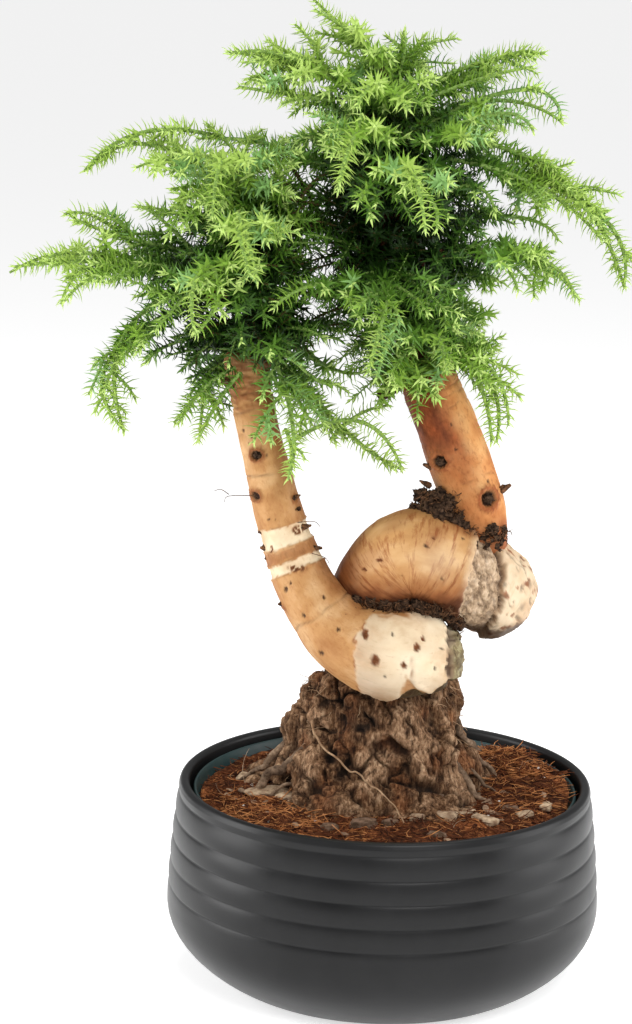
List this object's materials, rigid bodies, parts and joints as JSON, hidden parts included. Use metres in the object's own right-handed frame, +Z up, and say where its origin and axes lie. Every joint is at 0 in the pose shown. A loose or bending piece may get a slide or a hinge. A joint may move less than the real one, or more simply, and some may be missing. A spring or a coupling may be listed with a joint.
{
  "type": "potted hoop pine bonsai",
  "caption": "Potted araucaria trained as a bonsai: a knotted double trunk on a gnarled root stock, needled shoots, in a ribbed bowl.",
  "frame": {"origin": "centre of the bowl's flat underside, where it stands", "axes": "+Z up along the plant; X across its widest spread with the tall trunk to the right; -Y is the plant's front"},
  "size_m": [0.3763, 0.2686, 0.603],
  "materials": {
    "bowl_glaze": "satin charcoal glaze",
    "liner_plastic": "thin dark teal nursery pot",
    "soil": "loose coir potting soil",
    "root_bark": "gnarled, flaking",
    "bark": "smooth young bark",
    "twig_bark": "rough",
    "needles": "satin leaf"
  },
  "bodies": {
    "root": {"pot": "bowl_glaze", "nursery_pot": "liner_plastic", "soil": "soil", "root_stock": "root_bark", "left_trunk": "bark", "upper_burl": "bark", "right_trunk": "bark", "left_leader": "twig_bark", "right_leader": "twig_bark", "bough_left_far": "twig_bark", "bough_left_low": "twig_bark", "bough_right_far": "twig_bark", "bough_right_low": "twig_bark", "dead_stub": "twig_bark", "left_arch": "needles", "left_crest": "needles", "left_droop": "needles", "left_far": "needles", "left_front_high": "needles", "left_front_low": "needles", "left_high": "needles", "left_high_back": "needles", "left_inner_back": "needles", "left_inner_front": "needles", "left_inner_high": "needles", "left_inner_plume": "needles", "left_inner_reach": "needles", "left_low_back": "needles", "left_plume": "needles", "left_rear_high": "needles", "left_rear_left": "needles", "left_rear_low": "needles", "left_rear_middle": "needles", "left_under": "needles", "right_crest": "needles", "right_fan": "needles", "right_far": "needles", "right_far_back": "needles", "right_front_curve": "needles", "right_front_foot": "needles", "right_front_left": "needles", "right_front_long": "needles", "right_front_plume": "needles", "right_hang": "needles", "right_inner_right": "needles", "right_left_low": "needles", "right_left_reach": "needles", "right_low": "needles", "right_low_back": "needles", "right_middle_right": "needles", "right_rear_left": "needles", "right_rear_low": "needles", "right_rear_middle": "needles", "right_rear_right": "needles", "right_rear_top": "needles", "right_top": "needles", "right_upper_front": "needles", "right_upper_left": "needles", "right_upper_right": "needles"}
  },
  "joints": []
}
